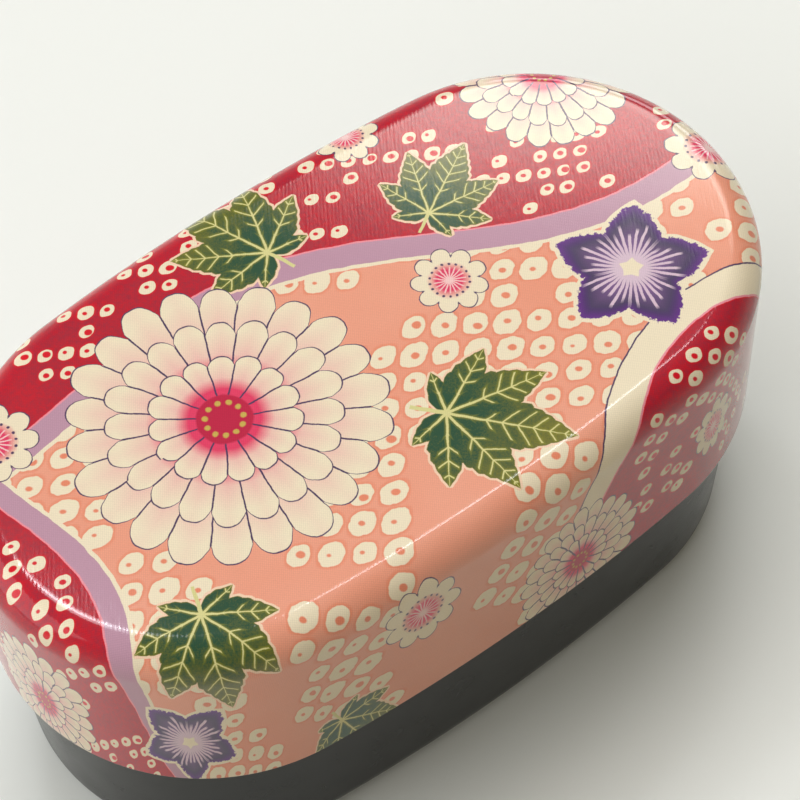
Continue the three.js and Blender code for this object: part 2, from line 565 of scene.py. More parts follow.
def distance(x: Field, y: Field) -> Field:
    """Gives a place's distance from the origin, on the flat."""
    return (x * x + y * y) ** 0.5


class Place(Output):
    """A place on a surface, in millimetres unless it says otherwise."""

    def math(self, operation: str, *others: "Place | Sequence[float]") -> bpy.types.Node:
        """Adds a vector sum, and gives its node."""
        terms = dict(enumerate((self, *others)))
        return add_node(self.tree, "VectorMath", terms, operation=operation)

    def __add__(self, other: "Place | Sequence[float]") -> "Place":
        """Adds."""
        return Place(self.tree, self.math("ADD", other).outputs[0])

    def __sub__(self, other: "Place | Sequence[float]") -> "Place":
        """Subtracts."""
        return Place(self.tree, self.math("SUBTRACT", other).outputs[0])

    def stretched(self, along: float, across: float, up: float) -> "Place":
        """Multiplies each of its numbers by a plain one."""
        return Place(self.tree, self.math("MULTIPLY", (along, across, up)).outputs[0])

    def cell(self) -> "Place":
        """Rounds down to whole numbers."""
        return Place(self.tree, self.math("FLOOR").outputs[0])

    def length(self) -> Field:
        """Gives the distance from the origin."""
        return Field(self.tree, self.math("LENGTH").outputs["Value"])

    def towards(self, way: Vector) -> Field:
        """Gives how far the place lies along a direction."""
        return Field(self.tree, self.math("DOT_PRODUCT", way.normalized()).outputs["Value"])

    def parts(self) -> tuple[Field, Field, Field]:
        """Splits into the numbers along, across and up.

        Returns:
            The three numbers.
        """
        node = add_node(self.tree, "SeparateXYZ", {0: self})
        along, across, up = (Field(self.tree, output) for output in node.outputs)
        return along, across, up

    def turned(self, angle: float, size: float = 1.0) -> "Place":
        """Turns about the origin and scales.

        Args:
            angle: The turn, anticlockwise.
            size: The scale.

        Returns:
            The new place.
        """
        terms = {"Vector": self, "Rotation": (0, 0, angle), "Scale": (size, size, size)}
        return Place(self.tree, add_node(self.tree, "Mapping", terms).outputs[0])

    def noise(self, size: float, detail: float = 2.0, roughness: float = 0.5) -> bpy.types.Node:
        """Adds cloudy noise, and gives its node.

        Args:
            size: How far apart its clouds are.
            detail: How many finer layers it has.
            roughness: How strong those are.

        Returns:
            The noise node, with a number and a colour from 0 to 1.
        """
        terms = {"Vector": self, "Scale": 1 / size, "Detail": detail, "Roughness": roughness}
        return add_node(self.tree, "TexNoise", terms)

    def clouds(self, size: float, detail: float = 2.0, roughness: float = 0.5) -> Field:
        """Gives cloudy noise as a number from 0 to 1."""
        return Field(self.tree, self.noise(size, detail, roughness).outputs[0])

    def shaken(self, size: float, reach: float) -> "Place":
        """Moves each place a little along and across, as a hand or a thread does.

        Args:
            size: How far apart the moves differ.
            reach: How far they go at most.

        Returns:
            The moved place.
        """
        cloud = Place(self.tree, self.noise(size, 1.0).outputs["Color"])
        return self + (cloud - MIDDLE).stretched(2 * reach, 2 * reach, 0)

    def dice(self) -> tuple[Field, Field, Field]:
        """Gives three random numbers from 0 to 1 for a whole-numbered place."""
        node = add_node(self.tree, "TexWhiteNoise", {"Vector": self})
        return Place(self.tree, node.outputs["Color"]).parts()


def blend(share: Field, first: Tint, second: Tint) -> Output:
    """Mixes two colours.

    Args:
        share: How much of the second there is, from 0 to 1.
        first: The first colour.
        second: The second colour.

    Returns:
        The mixed colour.
    """
    lower, upper = (tint if isinstance(tint, Output) else (*tint, 1) for tint in (first, second))
    node = add_node(share.tree, "Mix", {0: share, 6: lower, 7: upper}, data_type="RGBA")
    return Output(share.tree, node.outputs[2])


def new_material(name: str) -> tuple[bpy.types.Material, bpy.types.Node]:
    """Makes a material, and gives it with its shader.

    Args:
        name: The material's name.

    Returns:
        The material and its shader.
    """
    material = bpy.data.materials.new(name)
    material.use_nodes = True
    return material, material.node_tree.nodes["Principled BSDF"]


def set_up(shader: bpy.types.Node, values: dict[str, float | Sequence[float]]) -> None:
    """Sets some inputs of a shader to plain values."""
    for name, value in values.items():
        shader.inputs[name].default_value = value


def emboss(shader: bpy.types.Node, height: Field, depth: float, slot: str = "Normal") -> None:
    """Raises a surface, or the coat over it.

    Args:
        shader: The surface's shader.
        height: The height, from 0 to 1.
        depth: How high 1 is, in metres.
        slot: The shader's input for it.
    """
    bump = add_node(height.tree, "Bump", {"Distance": depth, "Height": height})
    height.tree.links.new(bump.outputs[0], shader.inputs[slot])


# The cloth's print, in millimetres on the flat cloth


@dataclass(frozen=True)
class Spot:
    """Where a motif of the print lies, how big it is and how it is turned."""

    x: float
    y: float
    radius: float
    degrees: float = 0.0


class Canvas:
    """The print as it is laid down, one colour over another."""

    HAND = (3.2, 0.28)  # how far apart, and how far, a drawn edge wavers
    THREADS = (0.45, 0.07)  # the same from thread to thread
    INK_BLUR = 0.05  # how far an edge of the ink spreads to each side
    FILL_BLUR = 0.06  # the same of a colour inside an outline

    def __init__(self, tree: bpy.types.NodeTree, ground: Colour) -> None:
        """Starts with the cloth's own map and one colour.

        Args:
            tree: The material's node tree.
            ground: The first colour.
        """
        self.tree = tree
        chart = add_node(tree, "UVMap", {}, uv_map=CLOTH_MAP)
        unit = 1 / MAP_UNIT
        self.flat = Place(tree, chart.outputs[0]).stretched(unit, unit, unit)
        self.place = self.flat.shaken(*self.HAND).shaken(*self.THREADS)
        self.colour: Tint = ground

    def lay(self, mask: Field, colour: Tint) -> None:
        """Lays a colour where a mask is 1."""
        self.colour = blend(mask, self.colour, colour)

    def ink(self, inside: Field, colour: Tint) -> None:
        """Lays a colour where the distance inside its edge is over 0."""
        self.lay(inside.over(0, self.INK_BLUR), colour)

    def paint_shade_and_light(self, light: Field) -> None:
        """Paints shade into the print where a number is under 1, and paints light into it where the
        number is over.
        """
        node = add_node(self.tree, "VectorMath", {0: self.colour, 1: light}, operation="MULTIPLY")
        self.colour = Output(self.tree, node.outputs[0])

    def seen_from(self, spot: Spot) -> Place:
        """Gives the place in units of a spot's radius, from the spot.

        Args:
            spot: The spot.

        Returns:
            The place as seen from it.
        """
        terms = {
            "Vector": self.place,
            "Location": (spot.x, spot.y, 0),
            "Rotation": (0, 0, radians(spot.degrees)),
            "Scale": (spot.radius, spot.radius, 1),
        }
        node = add_node(self.tree, "Mapping", terms, vector_type="TEXTURE")
        return Place(self.tree, node.outputs[0])

    def nearest(self, spots: Sequence[Spot]) -> Place:
        """Gives the place as seen from the nearest of some spots.

        Args:
            spots: The spots of one kind of motif, which don't overlap.

        Returns:
            The place in units of the spot's radius, with that radius as its height.
        """
        place = self.seen_from(spots[0])
        reach = place.length()
        place = place + (0, 0, spots[0].radius)
        for spot in spots[1:]:
            here = self.seen_from(spot)
            away = here.length()
            terms = {0: away.math("LESS_THAN", away, reach), 4: place, 5: here + (0, 0, spot.radius)}
            reach = away.least(reach)
            mix = add_node(self.tree, "Mix", terms, data_type="VECTOR")
            place = Place(self.tree, mix.outputs[1])
        return place


class Petals:
    """What a place has to do with a round flower's petals, folded onto one."""

    def __init__(self, place: Place, count: int, phase: float = 0.0) -> None:
        """Folds the petals.

        Args:
            place: The place in the flower's radii, with the radius as its height.
            count: How many petals there are.
            phase: By which share of a petal they are turned.
        """
        x, y, self.radius = place.parts()
        turn = x.math("ARCTAN2", y, x) * (count / (2 * pi)) + (phase + count)
        self.half_turn = pi / count
        self.reach = distance(x, y)  # the distance from the flower's middle, in radii
        self.aside = abs(turn.fraction() - 0.5) * 2  # from 0 on a petal's middle line to 1
        self.number = turn.floor()  # the petal's whole number

    def from_line(self) -> Field:
        """Gives the distance to the petal's middle line, in millimetres."""
        return self.aside * self.reach * self.radius * self.half_turn

    def from_gap(self) -> Field:
        """Gives the distance to the line between two petals, in millimetres."""
        return (1 - self.aside) * self.reach * self.radius * self.half_turn

    def from_bead(self, ring: float) -> Field:
        """Gives the distance in radii to the bead where a ring crosses the petal's middle line."""
        return distance(self.aside * self.reach * self.half_turn, self.reach - ring)


@dataclass(frozen=True)
class Stream:
    """A flowing band: a wave along a line."""

    degrees: float
    offset: float
    swell: float
    wavelength: float
    phase: float
    width: float

    def side(self, place: Place) -> Field:
        """Gives how far a place lies to the left of the band's middle line.

        Args:
            place: The place.

        Returns:
            The distance, under 0 to the right of the line.
        """
        along, across, _ = place.turned(-radians(self.degrees)).parts()
        wave = (along * (2 * pi / self.wavelength) + self.phase).sin()
        return across - wave * self.swell - self.offset


@dataclass(frozen=True)
class Ring:
    """A round band."""

    x: float
    y: float
    radius: float
    width: float

    def side(self, place: Place) -> Field:
        """Gives how far a place lies inside the band's middle line."""
        return self.radius - (place - (self.x, self.y, 0)).length()


@dataclass(frozen=True)
class Dots:
    """Tie-dyed dots in rows: pale, each with a speck of the ground in its middle.

    Shares of a size are of the rows' pitch.
    """

    pitch: float
    degrees: float
    long_share: float = 0.45
    short_share: float = 0.45
    speck_share: float = 0.10
    gap_share: float = 0.05  # of the dots are left out
    bend: tuple[float, float] = (38, 1.8)  # how far apart, and how far, the rows bend
    lean: float = 0.14
    squareness: float = 2.3
    shrink: float = 1.7  # how much faster the least dots fall off than the largest
    ragged_size: float = 1.6
    ragged: float = 0.6
    halo_reach: float = 0.75
    halo_strength: float = 0.8
    drift_share: float = 0.2
    speck_height: float = 0.7
    speck_shares: tuple[float, float] = (0.55, 1.35)  # the least and the largest

    def print_on(
        self,
        canvas: Canvas,
        room: Callable[[Place], Field],
        pale: Colour,
        halo: Colour,
    ) -> None:
        """Lays the dots where there is room for a whole one.

        Args:
            canvas: The print.
            room: Gives how far a place lies inside the dotted area.
            pale: The dots' colour.
            halo: The colour that has run together round them.
        """
        turn = radians(self.degrees)
        wavy = canvas.flat.shaken(*self.bend)
        rows = wavy.turned(-turn, 1 / self.pitch)
        cell = rows.cell()
        inside = rows - cell - MIDDLE
        centre = wavy - inside.turned(turn, self.pitch)
        size, drift, luck = cell.dice()
        x, y, _ = inside.parts()
        uneven = canvas.flat.clouds(self.ragged_size, 1.0) - 0.5
        tall = abs((y - x * self.lean) * (1 / self.short_share)) ** self.squareness
        wide = abs((x - y * self.lean) * (1 / self.long_share)) ** self.squareness
        fill = 1 - (tall + wide) * size.ramp(0, 1, 1.0, self.shrink) + uneven * self.ragged
        there = room(centre).over(0) * luck.over(self.gap_share)
        canvas.lay(fill.ramp(-self.halo_reach, 0.0, 0, self.halo_strength) * there, halo)
        canvas.lay(fill.over(0.05, 0.07) * there, pale)
        off_x = x - (drift - 0.5) * self.drift_share
        off_y = y - (luck - 0.6) * self.drift_share
        speck = (off_x * off_x * self.speck_height + off_y * off_y) ** 0.5 + uneven * 0.05
        least, most = (self.speck_share * share for share in self.speck_shares)
        canvas.lay((drift.ramp(0, 1, least, most) - speck).over(0, 0.02) * there, halo)


@dataclass(frozen=True)
class Patches:
    """Cloudy patches, which dots keep to."""

    size: float
    start: float  # of the clouds, from 0 to 1
    steepness: float

    def room(self, place: Place) -> Field:
        """Gives a number that is over 0 inside the patches."""
        return (place.clouds(self.size, 1.0) - self.start) * self.steepness


@dataclass(frozen=True)
class PetalRow:
    """A row of a chrysanthemum's petals."""

    count: int
    reach: float
    phase: float


@dataclass(frozen=True)
class Chrysanthemums:
    """Round flowers of many narrow petals in three rows. Lengths are in radii."""

    spots: tuple[Spot, ...]
    rows: tuple[PetalRow, ...] = (
        PetalRow(22, 1.0, 0.0),
        PetalRow(20, 0.74, 0.35),
        PetalRow(15, 0.47, 0.1),
    )
    line: float = 0.3  # the outline's width in millimetres
    slit: float = 1.7  # how much finer a line between two petals is
    tip_power: float = 2.6
    tip_drop: float = 0.13
    tip_odds: float = 0.07
    flush: tuple[float, float] = (0.30, 0.86)  # from where to where blush turns to cream
    flush_aside: float = 0.18
    flush_start: float = 0.1
    rose: tuple[float, float] = (0.45, 0.62)  # from where to where rose ends
    heart: float = 0.17
    heart_blur: float = 0.006
    grains: int = 11
    grain_phase: float = 0.2
    grain: float = 0.018
    grain_blur: float = 0.004
    grain_ring: float = 0.115

    def print_on(self, canvas: Canvas) -> None:
        """Lays the flowers, the outer petals first.

        Args:
            canvas: The print.
        """
        place = canvas.nearest(self.spots)
        for row in self.rows:
            petal = Petals(place, row.count, row.phase)
            odd = petal.number.scattered() * self.tip_odds
            tip = 1 - petal.aside**self.tip_power * self.tip_drop - odd
            room = (tip * row.reach - petal.reach) * petal.radius
            along = petal.reach / row.reach
            flush = along.ramp(*self.flush) + petal.aside * self.flush_aside - self.flush_start
            colour = blend(flush.ramp(0, 1), BLUSH, CREAM)
            colour = blend(along.ramp(*self.rose), ROSE, colour)
            canvas.ink(room, INK)
            inner = room.least(petal.from_gap() * self.slit)
            canvas.lay(inner.over(self.line, canvas.FILL_BLUR), colour)
        middle = Petals(place, self.grains, self.grain_phase)
        canvas.lay((self.heart - middle.reach).over(0, self.heart_blur), CARMINE)
        canvas.lay((self.grain - middle.from_bead(self.grain_ring)).over(0, self.grain_blur), STRAW)


@dataclass(frozen=True)
class Bellflowers:
    """Five-pointed flowers, dark in the middle, with a ragged pale edge. Lengths are in radii."""

    spots: tuple[Spot, ...]
    point_power: float = 0.93
    notch: float = 0.36
    rag: tuple[float, float] = (1.1, 3.4)  # how far apart and how deep, in millimetres
    rag_offset: float = 0.55  # how much of that depth the flesh takes back, in millimetres
    rag_blur: float = 0.12
    dark: tuple[float, float] = (0.35, 0.8)
    bright_rim: tuple[float, float] = (0.72, 0.98)
    rays: int = 35
    ray: float = 0.3  # half as wide as a ray in millimetres
    ray_phase: float = 0.5
    ray_start: float = 0.09
    ray_end: float = 0.5
    ray_odds: float = 0.22
    ray_aside: float = 0.42  # how much sooner the rays fade between two petals
    ray_blur: float = 0.01
    star: float = 0.10
    star_point: float = 0.05

    def print_on(self, canvas: Canvas) -> None:
        """Lays the flowers.

        Args:
            canvas: The print.
        """
        place = canvas.nearest(self.spots)
        petal = Petals(place, 5)
        edge = 1 - petal.aside**self.point_power * self.notch
        room = (edge - petal.reach) * petal.radius
        rag_size, rag_depth = self.rag
        ragged = canvas.flat.clouds(rag_size, 3.0, 0.7) * rag_depth
        canvas.ink(room, CREAM)
        along = petal.reach / edge
        flesh = blend(along.ramp(*self.dark), VIOLET, NAVY)
        flesh = blend(along.ramp(*self.bright_rim), flesh, PURPLE)
        canvas.lay((room - ragged).over(-self.rag_offset, self.rag_blur), flesh)
        fan = Petals(place, self.rays, self.ray_phase)
        odd = (fan.number * GOLDEN_SHARE).fraction() * self.ray_odds
        end = (odd + self.ray_end - petal.reach) * (0.5 - petal.aside * self.ray_aside)
        ray = (self.ray - fan.from_line()).over(0, canvas.INK_BLUR) * end.over(0.02, self.ray_blur)
        canvas.lay(ray * (petal.reach - self.ray_start).over(0, self.ray_blur), PALE_LILAC)
        star = (1 - petal.aside) ** 2 * self.star_point + self.star - petal.reach
        canvas.ink(star * petal.radius, CREAM)


@dataclass(frozen=True)
class MapleLeaves:
    """Green leaves of seven pointed lobes with pale veins. Lengths are in radii."""

    spots: tuple[Spot, ...]
    palm: float = -0.30
    lobes: tuple[tuple[float, float], ...] = ((90, 1.28), (52, 1.08), (14, 0.84), (-30, 0.5))
    lobe_width: float = 0.82
    lobe_powers: tuple[float, float] = (0.75, 1.1)  # how fast a lobe widens and narrows
    rib_count: float = 6.5
    rib_slant: float = 0.8
    rib_start: float = 0.2
    tooth: float = 0.2
    line: float = 0.009  # half as wide as a main vein at its foot
    stem: float = 0.022  # half as wide as the stem
    stem_length: float = 0.36
    stem_start: float = 0.02  # how far it reaches into the leaf
    halo: float = 0.55  # the width of the pale edge, in millimetres as are the next two
    rim: float = 0.15
    rim_blur: float = 0.1
    glow: float = 0.024  # how far the veins' glow spreads
    glow_strength: float = 0.6

    def print_on(self, canvas: Canvas) -> None:
        """Lays the leaves.

        Args:
            canvas: The print.
        """
        x, y, radius = canvas.nearest(self.spots).parts()
        across = abs(x)
        upward = y - self.palm
        body: Field | None = None
        vein: Field | None = None
        for turn, reach in self.lobes:
            way = radians(turn)
            along = (across * cos(way) + upward * sin(way)) / reach
            aside = abs(across * sin(way) - upward * cos(way))
            lobe, line = self.lobe(along, aside, reach)
            body = lobe if body is None else body.most(lobe)
            vein = line if vein is None else vein.most(line.least(lobe))
        room = body * radius
        speckle = canvas.flat.clouds(0.5, 2.0, 0.8) - 0.5
        wash = canvas.flat.clouds(5.0, 2.0)
        tone = wash * 0.7 + 0.75 + speckle * 1.1 - distance(x, upward) * 0.85
        canvas.lay(room.over(-self.halo, canvas.FILL_BLUR), PEACH)
        canvas.ink(room, OLIVE)
        canvas.lay(room.over(self.rim, self.rim_blur), blend(tone.ramp(0.0, 0.85), OLIVE, PINE))
        stem = (self.stem - across).least(y + (self.stem_length - self.palm))
        stem = stem.least(self.palm + self.stem_start - y)
        glow = vein.ramp(-self.glow, 0.0) * room.over(self.rim_blur, self.rim_blur)
        canvas.lay(glow * self.glow_strength, STRAW_GREEN)
        canvas.ink(stem.most(vein) * radius, LIME_CREAM)

    def lobe(self, along: Field, aside: Field, reach: float) -> tuple[Field, Field]:
        """Draws one lobe and its veins.

        Args:
            along: How far along the lobe a place is, from 0 to 1.
            aside: How far from the lobe's middle line it is.
            reach: The lobe's length.

        Returns:
            How far the place lies inside the lobe, and inside its veins.
        """
        held = along.ramp(0, 1)
        beyond = abs(along - held) * 4
        ribs = ((along * reach - aside * self.rib_slant) * self.rib_count).fraction()
        widen, narrow = self.lobe_powers
        tooth = 1.04 - abs(ribs - 0.6) * self.tooth
        width = held**widen * (1 - held) ** narrow * (self.lobe_width * reach) * tooth
        main = (1.1 - held) * self.line * 1.6 - aside - beyond
        rib = self.line * 0.8 - abs(ribs - 0.5) / (self.rib_count * 1.3)
        rib = rib.least(width * 0.85 - aside - 0.01) - beyond
        rib = rib.least((along * reach - self.rib_start) * 0.36 - aside)
        return width - aside - beyond, main.most(rib)


@dataclass(frozen=True)
class Daisies:
    """Small pale flowers with a pink middle. Lengths are in radii."""

    spots: tuple[Spot, ...]
    count: int = 9
    tip_power: float = 2.2
    tip_drop: float = 0.24
    slit_start: float = 0.5  # where the petals part
    slit_end: float = 0.75
    line: float = 0.26  # the outline's width in millimetres
    blush: tuple[float, float] = (0.38, 0.62)
    ray: float = 0.14  # half as wide as a ray in millimetres
    ray_phase: float = 0.25
    ray_end: float = 0.41
    ray_blur: float = 0.01
    bead: float = 0.035
    bead_blur: float = 0.008
    bead_ring: float = 0.5

    def print_on(self, canvas: Canvas) -> None:
        """Lays the flowers.

        Args:
            canvas: The print.
        """
        place = canvas.nearest(self.spots)
        petal = Petals(place, self.count)
        tip = 1 - petal.aside**self.tip_power * self.tip_drop
        room = (tip - petal.reach) * petal.radius
        canvas.ink(room, INK)
        slit = petal.from_gap() + petal.reach.ramp(self.slit_start, self.slit_end, 1, 0)
        canvas.lay(slit.least(room).over(self.line, canvas.FILL_BLUR), CREAM)
        blush = (petal.reach + canvas.flat.clouds(1.3) * 0.1).ramp(*self.blush, 1, 0)
        canvas.lay(blush * room.over(0, canvas.INK_BLUR), ROSE)
        fan = Petals(place, self.count * 2, self.ray_phase)
        ray = (self.ray - fan.from_line()).over(0, canvas.INK_BLUR)
        canvas.lay(ray * (self.ray_end - petal.reach).over(0, self.ray_blur), PALE_PINK)
        canvas.lay((self.bead - fan.from_bead(self.bead_ring)).over(0, self.bead_blur), INK)


SALMON = dye(242, 166, 140)
DEEP_SALMON = dye(236, 140, 108)
CRIMSON = dye(200, 24, 44)
DARK_CRIMSON = dye(164, 38, 58)
SCARLET = dye(220, 18, 38)
CREAM = dye(244, 230, 202)
BLUSH = dye(240, 150, 165)
ROSE = dye(232, 62, 104)
CARMINE = dye(196, 30, 70)
PALE_PINK = dye(248, 205, 205)
LAVENDER = dye(194, 150, 172)
PALE_LILAC = dye(222, 196, 214)
PURPLE = dye(112, 42, 150)
VIOLET = dye(124, 88, 142)
NAVY = dye(56, 48, 80)
INK = dye(82, 60, 96)
PINE = dye(40, 80, 56)
OLIVE = dye(126, 122, 38)
STRAW = dye(206, 176, 84)
STRAW_GREEN = dye(152, 150, 44)
LIME_CREAM = dye(222, 216, 150)
PEACH = dye(248, 214, 186)

MOTIFS = (
    MapleLeaves(
        (
            Spot(6, -27, 20, -140),
            Spot(-4, 35, 18, 20),
            Spot(-62, -34, 17, 160),
            Spot(33, 20, 15, -60),
            Spot(100, 14, 18, -90),
            Spot(-100, 22, 17, 60),
            Spot(-40, 72, 18, 10),
            Spot(52, 66, 17, 40),
            Spot(-44, -78, 14, 200),
        )
    ),
    Bellflowers(
        (
            Spot(52, -18, 17, 12),
            Spot(-84, -52, 15, 50),
            Spot(18, 72, 16, 20),
            Spot(92, -46, 15, -20),
            Spot(-86, 56, 15, 0),
        )
    ),
    Chrysanthemums(
        (
            Spot(-32, 3, 33),
            Spot(70, 32, 20, 8),
            Spot(16, -74, 17, 3),
            Spot(-110, -14, 19, 5),
            Spot(-14, 88, 18, 0),
        )
    ),
    Daisies(
        (
            Spot(22, 2, 8, 10),
            Spot(-70, 26, 9, 30),
            Spot(-24, -56, 9, 15),
            Spot(84, -4, 9, 0),
            Spot(56, -62, 8, 40),
            Spot(28, 44, 7, 5),
            Spot(108, -14, 8, 5),
        )
    ),
)


@dataclass(frozen=True)
class PrintedCloth:
    """Fine plain-woven cloth, printed, under a glossy clear coat."""

    name: str = "printed cloth"
    thread_pitch: float = 0.38
    weave_degrees: float = -34.0
    thread_height: float = 0.00002  # in metres, as is the next
    coat_height: float = 0.00001
    upper_stream: Stream = Stream(-10, 15, 9, 150, 2.2, 6.0)
    end_stream: Stream = Stream(78, 74, 7, 95, 0.4, 5.0)
    front_ring: Ring = Ring(58, -76, 44, 6.5)
    ground_range: tuple[float, float] = (0.35, 0.75)  # from where to where the ground deepens
    ground_depth: float = 0.4
    pale_dots: Dots = Dots(6.2, weave_degrees)
    pale_patches: Patches = Patches(34, 0.44, 60)
    red_range: tuple[float, float] = (0.5, 0.86)
    red_dots: Dots = Dots(4.3, weave_degrees + 4, 0.42, 0.38, 0.13, 0.3)
    red_patches: Patches = Patches(17, 0.45, 40)
    red_margin: float = 2.6  # how far from the red areas' edge their dots stay
    red_line: float = 0.35
    blush_line: float = 0.4
    dip: float = 0.35  # how much lower a thread is between two that it crosses
    weft_share: float = 0.85  # the height of a thread that runs across, over one along
    thread_range: tuple[float, float] = (0.2, 1.2)  # two heights of the yarn
    thread_shade_range: tuple[float, float] = (0.88, 1.045)  # how light the print is painted at each: painted shade between the threads, painted light on their tops
    streak_size: float = 0.6
    streak_share: float = 0.16  # a streak's width over its length
    rib: float = 0.12

    def red_room(self, place: Place) -> Field:
        """Gives how far a place lies inside the red areas.

        Args:
            place: The place.

        Returns:
            The distance, under 0 outside them.
        """
        bands = (self.upper_stream, self.end_stream, self.front_ring)
        upper, end, front = (band.side(place) - band.width / 2 for band in bands)
        return upper.most(end).most(front)

    def red_dots_room(self, place: Place) -> Field:
        """Gives a number that is over 0 where the red areas have dots."""
        return (self.red_room(place) - self.red_margin).least(self.red_patches.room(place))

    def lay_band(
        self,
        canvas: Canvas,
        band: Stream | Ring,
        fill: Colour,
        edge: Colour,
        line: float,
    ) -> None:
        """Lays a band, with a red and a blush line along its inner side and one along its outer side.

        Args:
            canvas: The print.
            band: The band.
            fill: Its colour.
            edge: The colour of the line on its outer side.
            line: How wide that line is.
        """
        side = band.side(canvas.place)
        half = band.width / 2
        canvas.ink((half + self.red_line - side).least(side), SCARLET)
        canvas.ink(half - abs(side), fill)
        canvas.ink(self.blush_line / 2 - abs(side - half), BLUSH)
        canvas.ink(line / 2 - abs(side + half), edge)

    def paint(self, canvas: Canvas) -> None:
        """Lays the whole print, from the ground up.

        Args:
            canvas: The print.
        """
        flat = canvas.flat
        deepened = flat.clouds(26, 3.0).ramp(*self.ground_range, 0, self.ground_depth)
        canvas.lay(deepened, DEEP_SALMON)
        self.pale_dots.print_on(canvas, self.pale_patches.room, CREAM, DEEP_SALMON)
        red = self.red_room(canvas.place)
        mottle = flat.clouds(0.9, 3.0, 0.75) + flat.shaken(2.5, 1.2).clouds(7, 2.0) * 0.4
        canvas.ink(red, blend(mottle.ramp(*self.red_range), DARK_CRIMSON, CRIMSON))
        self.red_dots.print_on(canvas, self.red_dots_room, CREAM, SCARLET)
        self.lay_band(canvas, self.upper_stream, LAVENDER, CREAM, 0.9)
        self.lay_band(canvas, self.end_stream, LAVENDER, CREAM, 0.9)
        self.lay_band(canvas, self.front_ring, CREAM, INK, 0.34)
        for motif in MOTIFS:
            motif.print_on(canvas)

    def weave(self, canvas: Canvas) -> Field:
        """Gives the height of the threads, which pass over and under one another, from 0 to 1.

        Args:
            canvas: The print.

        Returns:
            The height.
        """
        loose = canvas.flat.shaken(1.7, 0.05)
        along, across, _ = loose.turned(-radians(self.weave_degrees), 1 / self.thread_pitch).parts()
        warp = (along.fraction() * pi).sin()
        weft = (across.fraction() * pi).sin()
        under = ((along.floor() + across.floor()) * 0.5).fraction() * 2
        warp_over = warp * (weft * self.dip + (1 - self.dip))
        weft_over = weft * (warp * self.dip + (1 - self.dip)) * self.weft_share
        return warp_over + (weft_over - warp_over) * under

    def streaks(self, canvas: Canvas) -> Field:
        """Gives the height of the clear coat, which follows every other thread, from 0 to 1.

        Args:
            canvas: The print.

        Returns:
            The height.
        """
        turned = canvas.flat.shaken(2.2, 0.12).turned(-radians(self.weave_degrees))
        rib = (turned.parts()[0] * (pi / self.thread_pitch)).sin() * self.rib
        return turned.stretched(1.0, self.streak_share, 1.0).clouds(self.streak_size, 1.0) + rib

    def material(self) -> bpy.types.Material:
        """Makes the material.

        Returns:
            The material.
        """
        material, shader = new_material(self.name)
        tree = material.node_tree
        canvas = Canvas(tree, SALMON)
        self.paint(canvas)
        threads = self.weave(canvas)
        yarn = threads + canvas.flat.clouds(0.5, 2.0, 0.7) * 0.7
        # Painted shade in the gaps between the threads and painted light on their tops, with a random
        # tone from yarn to yarn.
        canvas.paint_shade_and_light(yarn.ramp(*self.thread_range, *self.thread_shade_range))
        canvas.colour.feed(shader.inputs["Base Color"])
        set_up(shader, {"Roughness": 0.6, "Specular IOR Level": 0.1})
        set_up(shader, {"Coat Weight": 1.0, "Coat Roughness": 0.09})
        emboss(shader, threads, self.thread_height)
        emboss(shader, self.streaks(canvas), self.coat_height, "Coat Normal")
        return material


# Plain finishes


class Grain(Enum):
    """How a moulded surface was left by its mould: bump depth, grain size and roughness."""

    MATT = (0.000007, 0.00018, 0.24)
    SATIN = (0.000006, 0.0004, 0.32)


@dataclass(frozen=True)
class PlasticFinish:
    """Moulded plastic."""

    name: str
    colour: Colour
    grain: Grain = Grain.MATT
    mottle: float = 0.12
    clearness: float = 0.0  # the share of light that spreads inside it
    gloss: float = 0.5
    mottle_size: float = 0.004
    wear: tuple[float, float] = (-0.04, 0.05)  # how its roughness changes
    wear_size: float = 0.009
    cloud_range: tuple[float, float] = (0.3, 0.7)

    def material(self) -> bpy.types.Material:
        """Makes the material.

        Returns:
            The material.
        """
        material, shader = new_material(self.name)
        tree = material.node_tree
        depth, size, roughness = self.grain.value
        place = Place(tree, tree.nodes.new("ShaderNodeTexCoord").outputs["Object"])
        dark, light = (
            tuple(min(value * share, 1) for value in self.colour)
            for share in (1 - self.mottle, 1 + self.mottle)
        )
        cloudy = place.clouds(self.mottle_size, 4.0, 0.6).ramp(*self.cloud_range)
        blend(cloudy, dark, light).feed(shader.inputs["Base Color"])
        smoothest, roughest = (roughness + change for change in self.wear)
        worn = place.clouds(self.wear_size, 3.0).ramp(*self.cloud_range, smoothest, roughest)
        worn.feed(shader.inputs["Roughness"])
        emboss(shader, place.clouds(size, 3.0, 0.6), depth)
        set_up(shader, {"Specular IOR Level": self.gloss, "Subsurface Weight": self.clearness})
        set_up(shader, {"Subsurface Radius": (1.0, 0.9, 0.7), "Subsurface Scale": 0.003})
        return material


BLACK_TIER = PlasticFinish("black matt plastic", (0.005, 0.0051, 0.0048), mottle=0.06, gloss=0.32)
BLACK_DIVIDER = PlasticFinish("black divider plastic", (0.006, 0.0061, 0.0058), mottle=0.06, gloss=0.32)
BLACK_LID = PlasticFinish("black satin plastic", (0.020, 0.020, 0.020), Grain.SATIN)
MILKY_LID = PlasticFinish("milky plastic", (0.80, 0.78, 0.72), Grain.SATIN, 0.02, 0.25)
WHITE_SEAL = PlasticFinish("white silicone", (0.86, 0.85, 0.80), Grain.SATIN, 0.03, 0.1)


def dress(
    piece: bpy.types.Object,
    finish: PlasticFinish | PrintedCloth,
    body: str,
    node: str,
) -> None:
    """Gives a piece its finish and its place in the frame.

    Args:
        piece: The piece.
        finish: What it is made of.
        body: The body that it moves with.
        node: The node that it stands for.
    """
    piece.data.materials.clear()
    piece.data.materials.append(finish.material())
    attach(piece, body)
    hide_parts(node)
    LOG.info("%s: %d faces, on %s", piece.name, len(piece.data.polygons), body)


# Sub-assemblies


